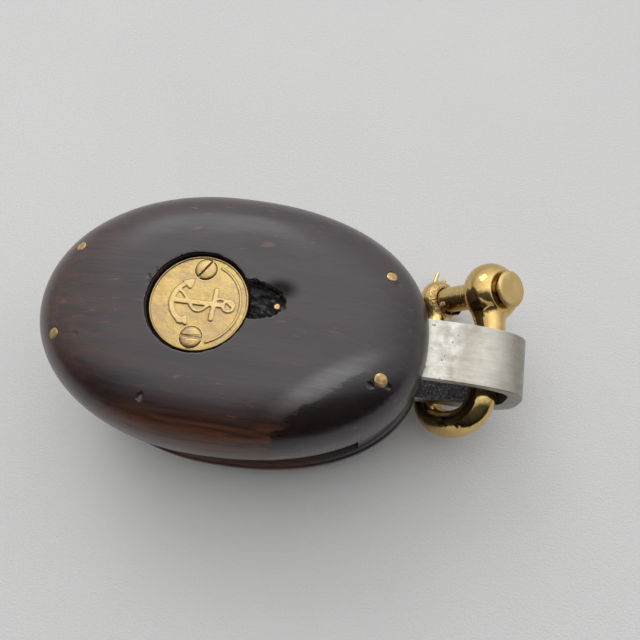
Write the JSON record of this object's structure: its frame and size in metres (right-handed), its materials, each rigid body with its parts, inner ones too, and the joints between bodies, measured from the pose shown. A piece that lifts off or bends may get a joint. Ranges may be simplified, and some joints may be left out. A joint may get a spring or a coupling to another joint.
{
  "type": "single sheave block",
  "caption": "Oval wooden-shell yacht block: one grooved sheave on a roller bearing, an internal steel strap and a bow shackle with a cottered pin.",
  "frame": {"origin": "centre of the sheave, in the middle plane of the block", "axes": "+X along the block from the sheave to the head and its bail, +Z along the sheave's axis, out of the upper cheek; the block lies on its lower cheek, facing -Z"},
  "size_m": [0.1589, 0.0888, 0.067],
  "materials": {
    "shell_wood": "dark hardwood under worn semi-gloss varnish",
    "cover_brass": "satin brass, lightly tarnished",
    "rivet_brass": "brass dressed flush with the wood",
    "strap_steel": "satin flat bar, rough inside",
    "shackle_brass": "polished brass",
    "sheave_bronze": "turned bronze",
    "bearing_steel": "ground steel"
  },
  "bodies": {
    "shell": {"cheek_upper": "shell_wood", "cheek_lower": "shell_wood", "head_spacer": "shell_wood", "tail_spacer": "shell_wood", "strap": "strap_steel", "sheave_pin": "bearing_steel", "thrust_washer_upper": "sheave_bronze", "thrust_washer_lower": "sheave_bronze", "cover_plate_upper": "cover_brass", "cover_plate_lower": "cover_brass", "cover_screw_upper_1": "cover_brass", "cover_screw_upper_2": "cover_brass", "cover_screw_lower_1": "cover_brass", "cover_screw_lower_2": "cover_brass", "shell_rivet_1": "rivet_brass", "shell_rivet_2": "rivet_brass", "shell_rivet_3": "rivet_brass", "shell_rivet_4": "rivet_brass", "recess_dowel": "rivet_brass"},
    "sheave": {"sheave": "sheave_bronze", "bearing_bush": "bearing_steel"},
    "roller_cage": {"roller_cage": "sheave_bronze"},
    "roller_1": {"roller_1": "bearing_steel"},
    "roller_2": {"roller_2": "bearing_steel"},
    "roller_3": {"roller_3": "bearing_steel"},
    "roller_4": {"roller_4": "bearing_steel"},
    "roller_5": {"roller_5": "bearing_steel"},
    "roller_6": {"roller_6": "bearing_steel"},
    "roller_7": {"roller_7": "bearing_steel"},
    "roller_8": {"roller_8": "bearing_steel"},
    "shackle": {"shackle_bow": "shackle_brass"},
    "shackle_pin": {"shackle_pin": "shackle_brass", "cotter_pin": "shackle_brass"}
  },
  "joints": [
    {"name": "sheave_spin", "type": "hinge", "parent": "shell", "child": "sheave", "pos_m": [0, 0, 0], "axis": [0, 0, 1], "continuous": true},
    {"name": "roller_cage_spin", "type": "hinge", "parent": "shell", "child": "roller_cage", "pos_m": [0, 0, 0], "axis": [0, 0, 1], "continuous": true},
    {"name": "roller_1_spin", "type": "hinge", "parent": "roller_cage", "child": "roller_1", "pos_m": [0.00915, 0, 0], "axis": [0, 0, 1], "continuous": true},
    {"name": "roller_2_spin", "type": "hinge", "parent": "roller_cage", "child": "roller_2", "pos_m": [0.00647, 0.00647, 0], "axis": [0, 0, 1], "continuous": true},
    {"name": "roller_3_spin", "type": "hinge", "parent": "roller_cage", "child": "roller_3", "pos_m": [0, 0.00915, 0], "axis": [0, 0, 1], "continuous": true},
    {"name": "roller_4_spin", "type": "hinge", "parent": "roller_cage", "child": "roller_4", "pos_m": [-0.00647, 0.00647, 0], "axis": [0, 0, 1], "continuous": true},
    {"name": "roller_5_spin", "type": "hinge", "parent": "roller_cage", "child": "roller_5", "pos_m": [-0.00915, 0, 0], "axis": [0, 0, 1], "continuous": true},
    {"name": "roller_6_spin", "type": "hinge", "parent": "roller_cage", "child": "roller_6", "pos_m": [-0.00647, -0.00647, 0], "axis": [0, 0, 1], "continuous": true},
    {"name": "roller_7_spin", "type": "hinge", "parent": "roller_cage", "child": "roller_7", "pos_m": [0, -0.00915, 0], "axis": [0, 0, 1], "continuous": true},
    {"name": "roller_8_spin", "type": "hinge", "parent": "roller_cage", "child": "roller_8", "pos_m": [0.00647, -0.00647, 0], "axis": [0, 0, 1], "continuous": true},
    {"name": "shackle_swing", "type": "hinge", "parent": "shell", "child": "shackle", "pos_m": [0.0914, 0, -0.0034], "axis": [-0.0487, -0.9964, -0.0698], "range_deg": [0, 220]},
    {"name": "shackle_pin_turn", "type": "hinge", "parent": "shackle", "child": "shackle_pin", "pos_m": [0.08457, 0.03031, -0.01159], "axis": [0.6259, -0.0849, 0.7753], "continuous": true}
  ],
  "couplings": [
    {"joint": "roller_cage_spin", "follows": "sheave_spin", "ratio": 0.63661},
    {"joint": "roller_1_spin", "follows": "sheave_spin", "ratio": 1.6934},
    {"joint": "roller_2_spin", "follows": "sheave_spin", "ratio": 1.6934},
    {"joint": "roller_3_spin", "follows": "sheave_spin", "ratio": 1.6934},
    {"joint": "roller_4_spin", "follows": "sheave_spin", "ratio": 1.6934},
    {"joint": "roller_5_spin", "follows": "sheave_spin", "ratio": 1.6934},
    {"joint": "roller_6_spin", "follows": "sheave_spin", "ratio": 1.6934},
    {"joint": "roller_7_spin", "follows": "sheave_spin", "ratio": 1.6934},
    {"joint": "roller_8_spin", "follows": "sheave_spin", "ratio": 1.6934}
  ]
}
